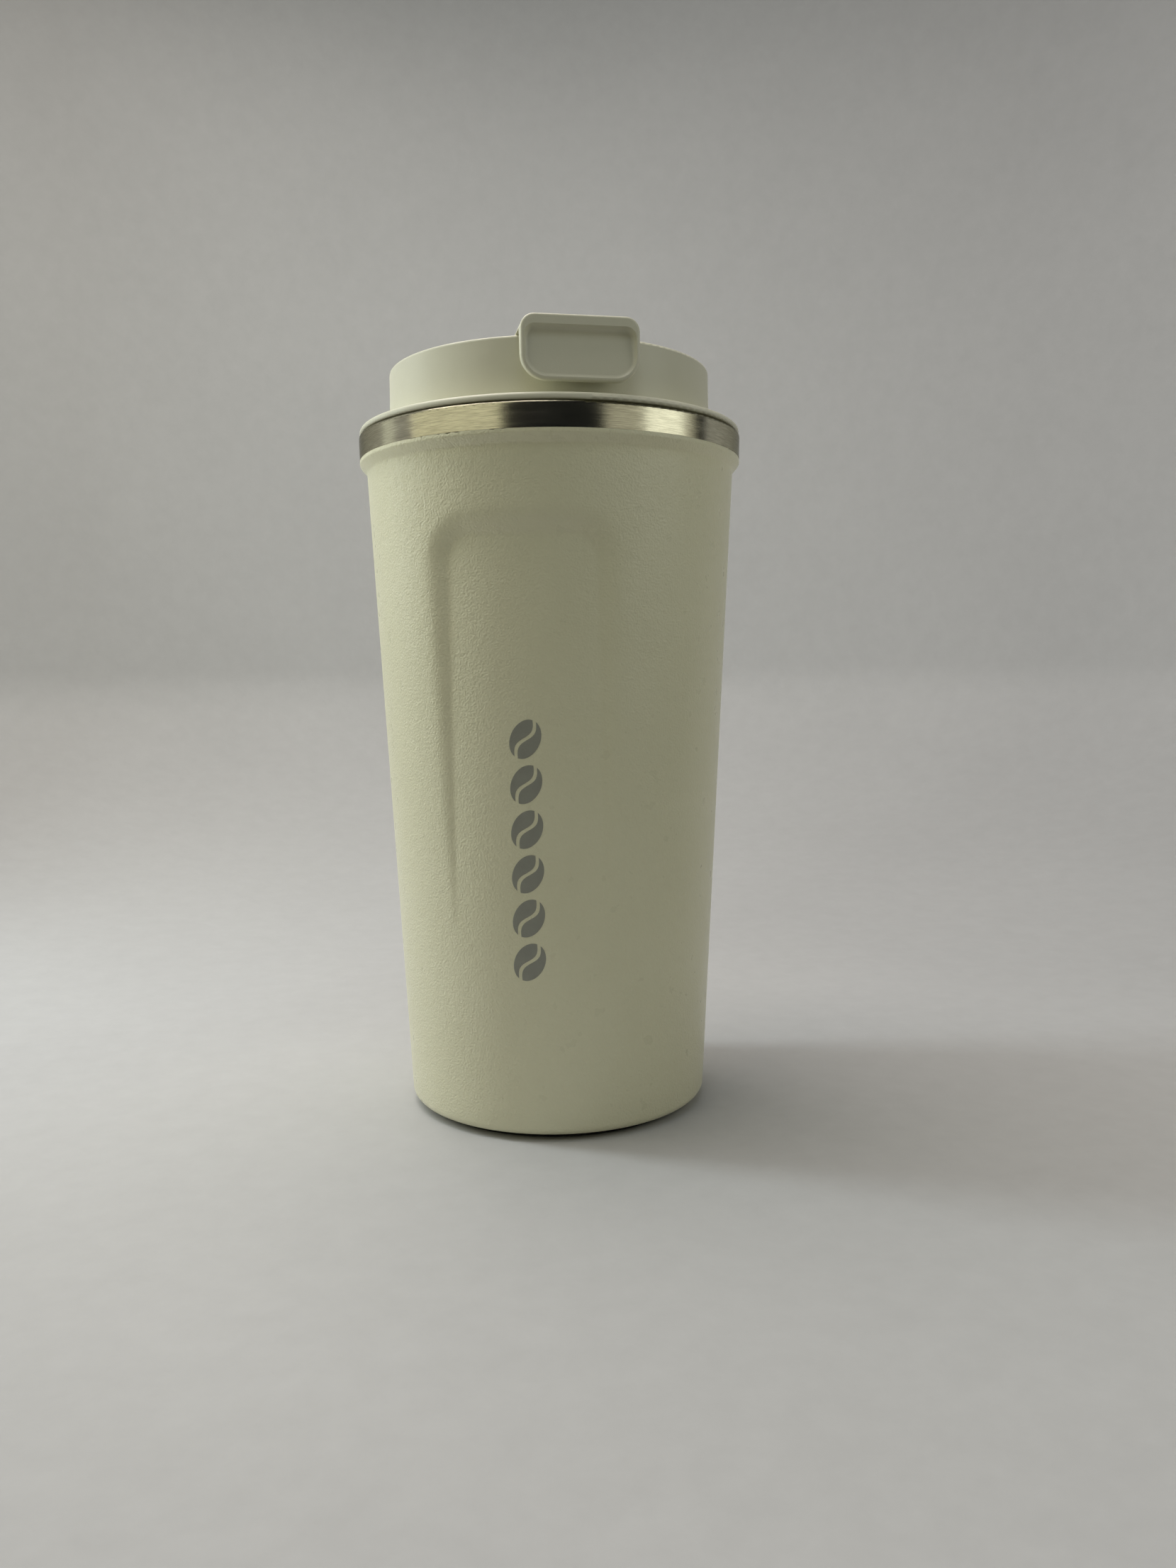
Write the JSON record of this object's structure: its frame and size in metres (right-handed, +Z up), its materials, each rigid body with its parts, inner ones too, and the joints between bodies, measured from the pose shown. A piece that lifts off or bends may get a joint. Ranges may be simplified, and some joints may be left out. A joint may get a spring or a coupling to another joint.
{
  "type": "insulated travel mug",
  "caption": "Tapered double-walled steel travel mug with a bare steel mouth collar, pressed thumb panels and a screw-in lid with a flip cover over its drinking hole.",
  "frame": {"origin": "centre of the face that the mug stands on", "axes": "+Z up along the mug's axis; the flip cover's thumb tab points along -Y"},
  "size_m": [0.0902, 0.0902, 0.1768],
  "materials": {
    "cream_powder_coat": "fine orange-peel powder coat, satin",
    "brushed_steel": "brushed round the mouth",
    "copper_foil": "thin crinkled foil",
    "getter_metal": "sintered",
    "sealing_glass": "fused bead",
    "dark_rubber": "matte",
    "clear_silicone": "translucent, soft",
    "cream_plastic": "fine satin",
    "inner_plastic": "smooth satin"
  },
  "bodies": {
    "cup": {"outer_shell": "cream_powder_coat", "mouth_collar": "brushed_steel", "inner_liner": "brushed_steel", "liner_bottom": "brushed_steel", "copper_foil_wrap": "copper_foil", "getter_clip": "brushed_steel", "getter_pellet": "getter_metal", "vacuum_base_disc": "brushed_steel", "solder_seal": "sealing_glass", "base_plate": "brushed_steel", "non_slip_foot": "dark_rubber"},
    "seal_ring": {"main_seal": "clear_silicone"},
    "lid": {"lid_cover": "cream_plastic", "lid_base": "inner_plastic", "drinking_duct": "inner_plastic", "duct_gasket": "clear_silicone", "hinge_pin": "brushed_steel"},
    "flip": {"flip_cover": "cream_plastic", "flip_inner": "inner_plastic", "spout_plug": "clear_silicone", "vent_plug": "clear_silicone"}
  },
  "joints": [
    {"name": "lid_rise", "type": "slide", "parent": "cup", "child": "seal_ring", "axis": [0, 0, 1], "range_m": [0, 0.018]},
    {"name": "lid_turn", "type": "hinge", "parent": "seal_ring", "child": "lid", "pos_m": [0, 0, 0.15], "axis": [0, 0, 1], "range_deg": [0, 540]},
    {"name": "cover_flip", "type": "hinge", "parent": "lid", "child": "flip", "pos_m": [0, 0.006, 0.1732], "axis": [-1, 0, 0], "range_deg": [0, 170]}
  ],
  "couplings": [
    {"joint": "lid_rise", "follows": "lid_turn", "m_per_rad": 0.0019098}
  ]
}
